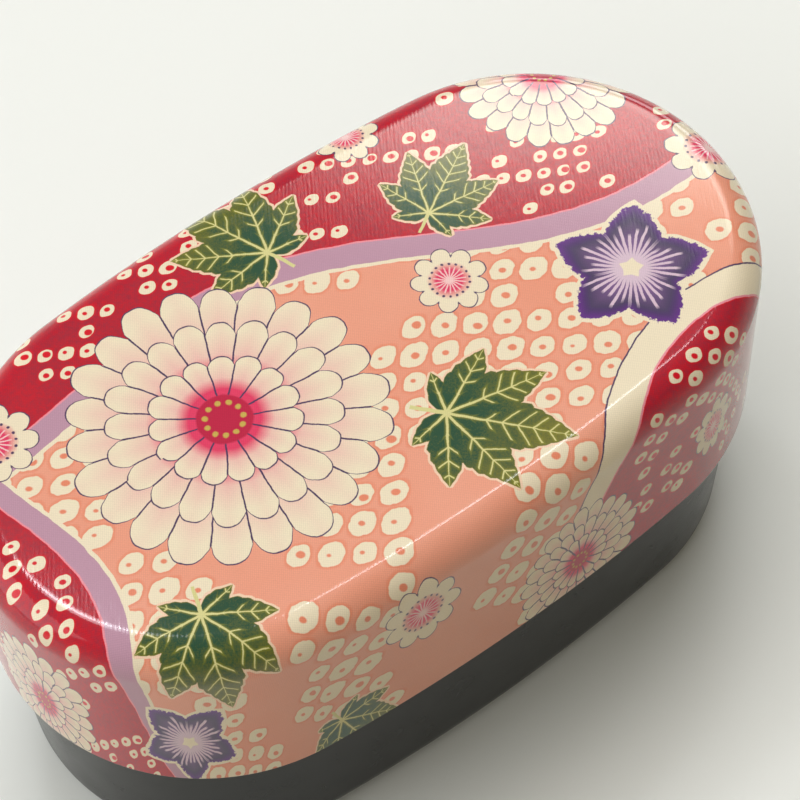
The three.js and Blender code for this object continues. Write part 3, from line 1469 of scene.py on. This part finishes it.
@dataclass(frozen=True)
class OuterLid:
    """The deep lid: a moulded shell with printed cloth bonded all over it."""

    stack: Stack
    carrier: Carrier
    rim_bevel: float = 0.0005
    edge_radius: float = 0.00012
    support: float = 0.0006
    shoulder_steps: int = 16
    drape_share: float = 0.85  # of the way down the side, in flat cloth

    def layer(self, outside: float, inside: float, rim: Sequence[Point]) -> list[Point]:
        """Draws a layer of the lid, whose faces bend round one centre at the shoulder.

        Args:
            outside: The inset of its outer face.
            inside: The inset of its inner face.
            rim: The points of its rim, from the inside out.

        Returns:
            The section, from the inner flat face to the outer one.
        """
        stack = self.stack
        radius = stack.shoulder_radius
        centre = (radius, stack.height - radius)
        steps = self.shoulder_steps
        flat = radius + self.support
        wall = centre[1] - self.support
        return [
            (flat, stack.height - inside),
            *arc(centre, radius - inside, UPWARDS, OUTWARDS, steps),
            (inside, wall),
            *rim,
            (outside, wall),
            *arc(centre, radius - outside, OUTWARDS, UPWARDS, steps),
            (flat, stack.height - outside),
        ]

    def shell(self) -> bpy.types.Object:
        """Models the moulded shell, with a lead-in round the inside of its rim.

        Returns:
            The shell.
        """
        stack = self.stack
        inside = stack.lid_inside
        outside = stack.lid_cover
        bevel = self.rim_bevel
        edge = self.edge_radius
        rim = [
            (inside, stack.seam + bevel + self.support),
            (inside, stack.seam + bevel),
            (inside - bevel, stack.seam),
            *arc((outside + edge, stack.seam + edge), edge, DOWNWARDS, OUTWARDS, steps=3),
            (outside, stack.seam + self.support),
        ]
        return self.carrier.carry("lid_shell", self.layer(outside, inside, rim))

    def cloth(self) -> bpy.types.Object:
        """Models the cloth, cut off square at the rim.

        Returns:
            The cloth, with its map.
        """
        stack = self.stack
        inside = stack.cloth
        edge = self.edge_radius
        rim = [
            (inside, stack.seam + self.support),
            (inside, stack.seam),
            *arc((edge, stack.seam + edge), edge, DOWNWARDS, OUTWARDS, steps=3),
            (0, stack.seam + self.support),
        ]
        cloth = self.carrier.carry("lid_cloth", self.layer(0, inside, rim))
        self.chart(cloth)
        return cloth

    def flat_place(self, x: float, y: float, z: float) -> Vector:
        """Finds where a point of the lid lies on the cloth before it was drawn over it.

        Args:
            x: The point's place along the box.
            y: Its place across the box.
            z: Its height.

        Returns:
            The place on the flat cloth.
        """
        stack = self.stack
        radius = stack.shoulder_radius
        outward, inset = self.carrier.oval.outward(x, y)
        if inset >= radius:
            return Vector((x, y))
        rise = z - (stack.height - radius)
        down = atan2(radius - inset, rise) * radius if rise > 0 else radius * pi / 2 - rise
        return Vector((x, y)) + outward * (inset - radius + down * self.drape_share)

    def chart(self, cloth: bpy.types.Object) -> None:
        """Maps the cloth as it lay flat.

        Args:
            cloth: The cloth.
        """
        mesh = cloth.data
        layer = mesh.uv_layers.new(name=CLOTH_MAP)
        places = [self.flat_place(*vertex.co) * (MAP_UNIT / MM) for vertex in mesh.vertices]
        for loop in mesh.loops:
            layer.data[loop.index].uv = places[loop.vertex_index]

    def declare(self, cloth: bpy.types.Object) -> None:
        """Args:
            cloth: The cloth, with its map.
        """
        mesh = cloth.data
        unit = MM / MAP_UNIT
        places = [loop.uv * unit for loop in mesh.uv_layers[CLOTH_MAP].data]
        both_faces = 0.0
        for face in mesh.polygons:
            corners = [places[index] for index in face.loop_indices]
            turns = zip(corners, [*corners[1:], corners[0]])
            both_faces += abs(sum(here.cross(there) for here, there in turns)) / 2
        both_faces / 2

    def build(self) -> None:
        """Models both layers and dresses them."""
        dress(self.shell(), BLACK_LID, "outer_lid", "outer_lid_shell")
        cloth = self.cloth()
        dress(cloth, PrintedCloth(), "outer_lid", "outer_lid_cloth")
        self.declare(cloth)


@dataclass(frozen=True)
class Hollow:
    """The inside of a tier: upright at its mouth, then leaning in to a round corner and a floor."""

    stack: Stack
    rim: float
    bend: float  # the height below which the wall leans in
    taper_share: float
    floor: float
    corner_radius: float
    corner_steps: int
    support: float = 0.0006

    def outside(self, z: float) -> float:
        """Gives the inset of the outside of the leaning wall at a height."""
        return self.stack.tier_outside + self.taper_share * (self.bend - z)

    def face(self, margin: float = 0.0) -> list[Point]:
        """Draws the inner face below the bend, or a face that clears it.

        Args:
            margin: How far in from the inner face.

        Returns:
            The points, from the top down.
        """
        radius = self.corner_radius
        height = self.floor + radius
        centre = (self.outside(height) + self.stack.tier_wall + radius, height)
        return [
            (self.stack.tier_mouth + margin, self.bend),
            *arc(centre, radius - margin, OUTWARDS, DOWNWARDS, self.corner_steps),
            (centre[0] + self.support, self.floor + margin),
        ]

    def solid(self, carrier: Carrier, margin: float) -> bpy.types.Object:
        """Fills the inside up to the rim, less a margin along its walls and floor."""
        return carrier.carry("hollow", [(self.stack.tier_mouth + margin, self.rim), *self.face(margin)])


@dataclass(frozen=True)
class Partition:
    """A loose divider: a web with a beaded top, on a strip that follows the walls and floor."""

    place: float  # along the box
    gap: float = 0.0003
    web: float = 0.0014
    bead: float = 0.0013
    bead_steps: int = 20
    foot_length: float = 0.014
    foot: float = 0.0012
    headroom: float = 0.0012
    softened_edge: float = 0.00015

    def wall(self, width: float, top: float) -> bpy.types.Object:
        """Models the web as wide as the box, before it is fitted.

        Args:
            width: The box's width.
            top: The height of its top edge.

        Returns:
            The solid.
        """
        half = self.web / 2
        neck = asin(half / self.bead)
        bead = arc((0, top - self.bead), self.bead, neck - UPWARDS, DOWNWARDS - neck, self.bead_steps)
        outline = [(-half, 0), (half, 0), *bead]
        piece = draw_face("web", [Vector((self.place + x, -width / 2, z)) for x, z in outline])
        lift_face(width, Vector((0, 1, 0)))
        face_outwards()
        return piece

    def block(self, width: float, top: float) -> bpy.types.Object:
        """Makes the block that marks off the strip's length.

        Args:
            width: The box's width.
            top: The height of the block.

        Returns:
            The block.
        """
        deselect_all()
        bpy.ops.mesh.primitive_cube_add(size=1, location=(self.place, 0, top / 2))
        block = bpy.context.object
        block.scale = (self.foot_length, width, top)
        bpy.ops.object.transform_apply(location=True, rotation=True, scale=True)
        return block

    def build(self, name: str, carrier: Carrier, hollow: Hollow, ceiling: float) -> bpy.types.Object:
        """Models the divider inside a tier.

        Args:
            name: The new piece's name.
            carrier: What carries the tier's sections round the oval.
            hollow: The tier's inside.
            ceiling: The height of what lies above the divider.

        Returns:
            The divider.
        """
        width = carrier.oval.width
        top = ceiling - self.headroom
        strip = self.block(width, top - 2 * self.bead)
        combine(strip, hollow.solid(carrier, self.gap), "INTERSECT")
        combine(strip, hollow.solid(carrier, self.gap + self.foot), "DIFFERENCE")
        divider = self.wall(width, top)
        combine(divider, hollow.solid(carrier, self.gap), "INTERSECT")
        combine(divider, strip, "UNION")
        divider.name = divider.data.name = name
        soften(divider, self.softened_edge)
        smooth(divider)
        return divider


@dataclass(frozen=True)
class LowerTier:
    """The lower food tier, which everything stands on."""

    stack: Stack
    carrier: Carrier
    partition: Partition
    taper_share: float = 0.05
    bottom_radius: float = 0.0077
    foot_ring_height: float = 0.0008
    foot_ring_width: float = 0.004
    foot_edge: float = 0.0002
    support: float = 0.0006

    @property
    def hollow(self) -> Hollow:
        """The inside of the tier.

        Returns:
            Its sizes.
        """
        stack = self.stack
        floor = self.foot_ring_height + stack.tier_floor
        corner = self.bottom_radius - stack.tier_wall
        return Hollow(stack, stack.lower_rim, stack.seam, self.taper_share, floor, corner, 12)

    def tier(self) -> bpy.types.Object:
        """Models the tier, with its foot ring and the upright rim that the lid slides over.

        Returns:
            The tier.
        """
        stack = self.stack
        hollow = self.hollow
        radius = self.bottom_radius
        centre = (hollow.outside(radius) + radius, radius)
        ring = centre[0] + self.foot_ring_width
        foot = self.foot_edge
        edge = stack.rim_edge
        rim = stack.lower_rim
        section = [
            (ring + self.foot_ring_height + self.support, self.foot_ring_height),
            (ring + self.foot_ring_height, self.foot_ring_height),
            *arc((ring - foot, foot), foot, INWARDS, -UPWARDS, steps=3),
            *arc(centre, radius, DOWNWARDS, OUTWARDS, steps=14),
            (stack.tier_outside, stack.seam),
            (stack.tier_outside, rim - edge - self.support),
            *arc((stack.tier_outside + edge, rim - edge), edge, OUTWARDS, UPWARDS, steps=5),
            *arc((stack.tier_mouth - edge, rim - edge), edge, UPWARDS, INWARDS, steps=5),
            (stack.tier_mouth, rim - edge - self.support),
            *hollow.face(),
        ]
        return self.carrier.carry("bottom_tier", section)

    def build(self) -> None:
        """Models the tier and its partition, and dresses both."""
        dress(self.tier(), BLACK_TIER, "lower_tier", "lower_tier")
        ceiling = self.stack.upper_underside
        divider = self.partition.build("bottom_divider", self.carrier, self.hollow, ceiling)
        dress(divider, BLACK_DIVIDER, "lower_divider", "lower_divider")


@dataclass(frozen=True)
class UpperTier:
    """The upper food tier, whose bottom reaches into the lower tier's mouth."""

    stack: Stack
    carrier: Carrier
    partition: Partition
    taper_share: float = 0.012
    spigot_radius: float = 0.003
    inner_radius: float = 0.007
    ledge_edge: float = 0.0003
    support: float = 0.0006

    @property
    def hollow(self) -> Hollow:
        """The inside of the tier, whose wall leans in from the rounding under the shoulder.

        Returns:
            Its sizes.
        """
        stack = self.stack
        bend = stack.nest_centre[1]
        floor = stack.upper_underside + stack.tier_floor
        return Hollow(stack, stack.upper_rim, bend, self.taper_share, floor, self.inner_radius, 14)

    def tier(self) -> bpy.types.Object:
        """Models the tier, rounded off at its rim alongside the lid's shoulder.

        Returns:
            The tier.
        """
        stack = self.stack
        hollow = self.hollow
        spigot = stack.tier_mouth + stack.slide_gap
        low = stack.upper_underside
        centre = (spigot + self.spigot_radius, low + self.spigot_radius)
        ledge = stack.upper_ledge
        foot = self.ledge_edge
        corner = (hollow.outside(ledge) + foot, ledge + foot)
        edge = stack.rim_edge
        rim = stack.upper_rim
        nest = stack.nest_centre
        section = [
            (centre[0] + self.support, low),
            *arc(centre, self.spigot_radius, DOWNWARDS, OUTWARDS, steps=8),
            (spigot, ledge),
            *arc(corner, foot, DOWNWARDS, OUTWARDS, steps=3),
            (hollow.outside(nest[1] - self.support), nest[1] - self.support),
            *arc(nest, stack.nest_radius, OUTWARDS, stack.nest_angle(rim), steps=6),
            *arc((stack.tier_mouth - edge, rim - edge), edge, UPWARDS, INWARDS, steps=5),
            (stack.tier_mouth, rim - edge - self.support),
            *hollow.face(),
        ]
        return self.carrier.carry("top_tier", section)

    def build(self) -> None:
        """Models the tier and its partition, and dresses both."""
        dress(self.tier(), BLACK_TIER, "upper_tier", "upper_tier")
        ceiling = self.stack.plug_underside
        divider = self.partition.build("top_divider", self.carrier, self.hollow, ceiling)
        dress(divider, BLACK_DIVIDER, "upper_divider", "upper_divider")


@dataclass(frozen=True)
class SealingLid:
    """The inner lid: a plug with a seal round it, a sunken panel and a grip."""

    stack: Stack
    carrier: Carrier
    plug_clearance: float = 0.0006
    panel: float = 0.0016
    edge: float = 0.0006
    well_radius: float = 0.002
    groove_depth: float = 0.0016
    groove_height: float = 0.0026
    groove_cover: float = 0.001
    groove_wall: float = 0.0015
    grip_length: float = 0.048
    grip_thickness: float = 0.006
    grip_waist: float = 0.0036
    grip_headroom: float = 0.0009
    grip_fillet: float = 0.0012
    grip_edge: float = 0.0012
    grip_steps: int = 12  # along each side and round each end
    fin_reach: float = 0.0007
    fin_height: float = 0.0008
    fin_tip_share: float = 0.2  # of its height, as a radius
    support: float = 0.0006

    @property
    def plug_side(self) -> float:
        """The inset of the plug's side."""
        return self.stack.tier_mouth + self.plug_clearance

    @property
    def groove_back(self) -> float:
        """The inset of the bottom of the seal's groove."""
        return self.plug_side + self.groove_depth

    @property
    def groove_top(self) -> float:
        """The height of the groove's upper face."""
        return self.stack.flange_underside - self.groove_cover

    @property
    def groove_foot(self) -> float:
        """The height of the groove's lower face."""
        return self.groove_top - self.groove_height

    @property
    def panel_top(self) -> float:
        """The height of the sunken panel."""
        return self.stack.plug_underside + self.panel

    def dish(self) -> bpy.types.Object:
        """Models the lid without its grip.

        Returns:
            The lid.
        """
        stack = self.stack
        edge = self.edge
        low = stack.plug_underside
        plug = (self.plug_side + edge, low + edge)
        well_side = self.groove_back + self.groove_wall
        lip = (well_side - edge, stack.flange_top - edge)
        well = (well_side + self.well_radius, self.panel_top + self.well_radius)
        nest = stack.nest_centre
        start = stack.nest_angle(stack.flange_underside)
        section = [
            (plug[0] + self.support, low),
            *arc(plug, edge, DOWNWARDS, OUTWARDS, steps=4),
            (self.plug_side, self.groove_foot),
            (self.groove_back, self.groove_foot),
            (self.groove_back, self.groove_top),
            (self.plug_side, self.groove_top),
            (self.plug_side, stack.flange_underside),
            *arc(nest, stack.nest_radius, start, UPWARDS, steps=8),
            (nest[0] + self.support / 2, stack.flange_top),
            *arc(lip, edge, UPWARDS, INWARDS, steps=4),
            *arc(well, self.well_radius, OUTWARDS, DOWNWARDS, steps=8),
            (well[0] + self.support, self.panel_top),
        ]
        return self.carrier.carry("sealing_lid", section)

    def grip_plan(self, outset: float) -> list[Vector]:
        """Draws the grip's outline from above, with its waist.

        Args:
            outset: How far outside the grip's own side it runs.

        Returns:
            Its points in order.
        """
        end = self.grip_thickness / 2
        straight = self.grip_length / 2 - end
        pull = end - self.grip_waist / 2
        steps = self.grip_steps
        shares = [step / steps for step in range(1, steps)]

        def side(sign: int) -> list[Point]:
            """Draws one waisted side, from left to right for the lower one.

            Args:
                sign: Below the middle it is -1, and above it 1.

            Returns:
                The side's points, without its ends.
            """
            hollow = [pull * 4 * share * (1 - share) for share in shares]
            runs = [straight * (2 * share - 1) * -sign for share in shares]
            return [(x, sign * (end - dip + outset)) for x, dip in zip(runs, hollow)]

        tip = end + outset
        right = arc((straight, 0), tip, -UPWARDS, UPWARDS, steps)
        left = arc((-straight, 0), tip, UPWARDS, DOWNWARDS, steps)
        outline = [*side(-1), *right, *side(1), *left]
        return [Vector((x, y, 0)) for x, y in outline]

    def grip(self) -> bpy.types.Object:
        """Models the grip, with a hollow round its foot and a rounded top.

        Returns:
            The grip.
        """
        fillet = self.grip_fillet
        edge = self.grip_edge
        root = self.panel_top - self.panel / 2
        top = self.stack.ceiling - self.grip_headroom
        piece = draw_face("grip", self.grip_plan(fillet))
        bpy.ops.transform.translate(value=UP * root)
        lift_face(self.panel_top - root)
        for outset, rise in steps_of(arc((fillet, fillet), fillet, DOWNWARDS, OUTWARDS, steps=5)):
            bpy.ops.mesh.inset(thickness=-outset, depth=rise)
        lift_face(top - edge - fillet - self.panel_top)
        for inset, rise in steps_of(arc((edge, 0), edge, OUTWARDS, UPWARDS, steps=5)):
            bpy.ops.mesh.inset(thickness=inset, depth=rise)
        face_outwards()
        return piece

    def seal(self) -> bpy.types.Object:
        """Models the ring in the groove, with two soft fins that meet the tier's wall.

        Returns:
            The ring.
        """
        gap = self.stack.slide_gap
        foot = self.groove_foot + gap
        top = self.groove_top - gap
        back = self.groove_back - gap
        tip = self.stack.tier_mouth + gap
        root = tip + self.fin_reach
        round_tip = self.fin_height * self.fin_tip_share
        section = [(back, foot), (root, foot)]
        for middle in (foot + self.fin_height / 2, top - self.fin_height / 2):
            centre = (tip + round_tip, middle)
            section.append((root, middle - self.fin_height / 2))
            section.extend(arc(centre, round_tip, DOWNWARDS, UPWARDS, steps=6))
            section.append((root, middle + self.fin_height / 2))
        section.extend([(back, top), (back, foot)])
        return self.carrier.carry("sealing_ring", section)

    def build(self) -> None:
        """Models the lid with its grip, and the ring, and dresses both."""
        lid = self.dish()
        combine(lid, self.grip(), "UNION")
        smooth(lid)
        dress(lid, MILKY_LID, "inner_lid", "inner_lid")
        dress(self.seal(), WHITE_SEAL, "inner_lid", "inner_lid_seal")


# The studio


@dataclass(frozen=True)
class Viewpoint:
    """The camera, aimed at a point beside the middle of the box."""

    azimuth: float = radians(-34.3201)
    elevation: float = radians(57.6513)
    roll: float = radians(-2.5235)
    distance: float = 0.5862447
    aim_right: float = 0.0061387
    aim_up: float = 0.0121329
    focal_pixels: float = 2827.4764
    frame_pixels: float = 800
    film_width: float = 36

    def build(self, middle: Vector) -> None:
        """Places the camera.

        Args:
            middle: The middle of the box.
        """
        back = Vector(
            (
                sin(self.azimuth) * cos(self.elevation),
                -cos(self.azimuth) * cos(self.elevation),
                sin(self.elevation),
            )
        )
        eye = middle + back * self.distance
        right = (-back).cross(UP).normalized()
        up = right.cross(-back)
        aim = middle + right * self.aim_right + up * self.aim_up
        back = (eye - aim).normalized()
        right = (-back).cross(UP).normalized()
        up = back.cross(right)
        turned_right = right * cos(self.roll) + up * sin(self.roll)
        turned_up = up * cos(self.roll) - right * sin(self.roll)
        data = bpy.data.cameras.new("camera")
        data.sensor_width = self.film_width
        data.lens = self.focal_pixels / self.frame_pixels * self.film_width
        data.clip_start = self.distance / 100
        camera = bpy.data.objects.new("camera", data)
        bpy.context.scene.collection.objects.link(camera)
        turn = Matrix((turned_right, turned_up, back)).transposed().to_4x4()
        camera.matrix_world = Matrix.Translation(eye) @ turn
        bpy.context.scene.camera = camera


@dataclass(frozen=True)
class Lamp:
    """A soft rectangular lamp that faces the box."""

    name: str
    place: Vector
    width: float
    depth: float
    watts: float
    along: Vector  # the way that its width runs, more or less
    colour: Colour = (0.94, 0.96, 1.0)

    def build(self) -> None:
        """Places the lamp."""
        data = bpy.data.lights.new(self.name, "AREA")
        data.color = self.colour
        data.shape = "RECTANGLE"
        data.size = self.width
        data.size_y = self.depth
        data.energy = self.watts
        lamp = bpy.data.objects.new(self.name, data)
        bpy.context.scene.collection.objects.link(lamp)
        back = self.place.normalized()
        across = back.cross(self.along).normalized()
        facing = Matrix((across.cross(back), across, back)).transposed().to_4x4()
        lamp.matrix_world = Matrix.Translation(self.place) @ facing


@dataclass(frozen=True)
class Room:
    """A dim room with a pale backdrop, lit from above and from one side.

    What the box mirrors is a ceiling with one window in it.
    """

    dim_colour: Colour = (0.10, 0.076, 0.03)
    top_colour: Colour = (5.15, 5.1, 4.9)
    top_way: Vector = Vector((0.174, 0.289, 0.942))
    top_start: float = 0.93  # the cosine of the angle at which that light ends
    side_colour: Colour = (1.4, 1.38, 1.3)
    side_way: Vector = Vector((-0.649, -0.045, 0.759))
    side_start: float = 0.64
    backdrop: Colour = (0.86, 0.865, 0.80)
    horizon: Colour = (0.50, 0.50, 0.47)
    ceiling: Colour = (0.10, 0.10, 0.10)
    ceiling_start: float = 0.5  # the sine of the height where the horizon's glow ends
    window: Colour = (8.6, 8.6, 8.0)
    window_foot: tuple[float, float] = (0.45, 0.6)  # sines of heights, and soft edges
    window_top: tuple[float, float] = (0.774, 0.797)
    window_right: tuple[float, float] = (0.45, 0.7)  # turns round the box
    window_left: tuple[float, float] = (0.94, 1.05)

    def mirrored(self, way: Place) -> Output:
        """Gives the light that the box mirrors from a direction.

        Args:
            way: The direction.

        Returns:
            The light's colour.
        """
        x, y, z = way.parts()
        turn = x.math("ARCTAN2", y, x)
        pane = z.ramp(*self.window_foot) * z.ramp(*self.window_top, 1, 0)
        pane = pane * turn.ramp(*self.window_right) * turn.ramp(*self.window_left, 1, 0)
        above = blend(z.ramp(0.0, self.ceiling_start), self.horizon, self.ceiling)
        return blend(pane, above, self.window)

    def build(self) -> None:
        """Makes the room."""
        world = bpy.data.worlds.new("room")
        world.use_nodes = True
        tree = world.node_tree
        way = Place(tree, tree.nodes.new("ShaderNodeTexCoord").outputs["Generated"])
        rays = tree.nodes.new("ShaderNodeLightPath").outputs
        glossy, plain, through = (
            Field(tree, rays[f"Is {ray} Ray"]) for ray in ("Glossy", "Camera", "Transmission")
        )
        sideways = way.towards(self.side_way).ramp(self.side_start, 1.0)
        upwards = way.towards(self.top_way).ramp(self.top_start, 1.0)
        light = blend(sideways, self.dim_colour, self.side_colour)
        light = blend(upwards, light, self.top_colour)
        light = blend(glossy, light, self.mirrored(way))
        light = blend(plain.most(through), light, self.backdrop)
        light.feed(tree.nodes["Background"].inputs["Color"])
        bpy.context.scene.world = world


@dataclass(frozen=True)
class Floor:
    """A plain pale floor, which throws back less light than it shows."""

    radius: float = 12.0
    sides: int = 96
    colour: Colour = (0.86, 0.885, 0.87)
    glow: Colour = (0.50, 0.45, 0.34)  # of the light that it throws back on the box
    roughness: float = 0.6

    def build(self) -> None:
        """Lays the floor."""
        deselect_all()
        bpy.ops.mesh.primitive_circle_add(vertices=self.sides, radius=self.radius, fill_type="NGON")
        floor = bpy.context.object
        floor.name = "floor"
        material, shader = new_material("pale floor")
        tree = material.node_tree
        rays = tree.nodes.new("ShaderNodeLightPath").outputs
        thrown = Field(tree, rays["Is Diffuse Ray"])
        blend(thrown, self.colour, self.glow).feed(shader.inputs["Base Color"])
        set_up(shader, {"Roughness": self.roughness})
        floor.data.materials.append(material)


LAMPS = (
    Lamp("left lamp", Vector((-1.1, 0.75, 0.7)), 1.6, 1.2, 8.2, Vector((0.6, 0.8, 0))),
    Lamp("back lamp", Vector((1.14, 0.86, 0.45)), 0.9, 0.3, 3.2, Vector((-0.6, 0.8, 0))),
    Lamp("strip lamp", Vector((0.44, 0.41, 1.2)), 0.34, 0.05, 0.7, Vector((1, 0, 0))),
    Lamp("short lamp", Vector((0.036, 0.521, 1.2)), 0.16, 0.24, 0.8, Vector((0.39, -0.92, 0))),
    Lamp("short strip lamp", Vector((0.066, 0.556, 1.2)), 0.11, 0.09, 0.5, Vector((0.39, -0.92, 0))),
)


def main() -> None:
    """Builds the lunch box and its studio."""
    logging.basicConfig(level=logging.INFO, format="%(name)s: %(message)s")
    scene = bpy.context.scene
    scene.view_settings.view_transform = "Standard"
    low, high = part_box("outer_lid_cloth")
    Viewpoint().build(Vector((0, 0, high.z / 2)))
    stack = Stack(high.z, low.z)
    carrier = Carrier(Oval(high.x - low.x, high.y - low.y))
    OuterLid(stack, carrier).build()
    SealingLid(stack, carrier).build()
    UpperTier(stack, carrier, Partition(0.018)).build()
    LowerTier(stack, carrier, Partition(-0.014)).build()
    for part in (Floor(), Room(), *LAMPS):
        part.build()


if __name__ == "__main__":
    main()
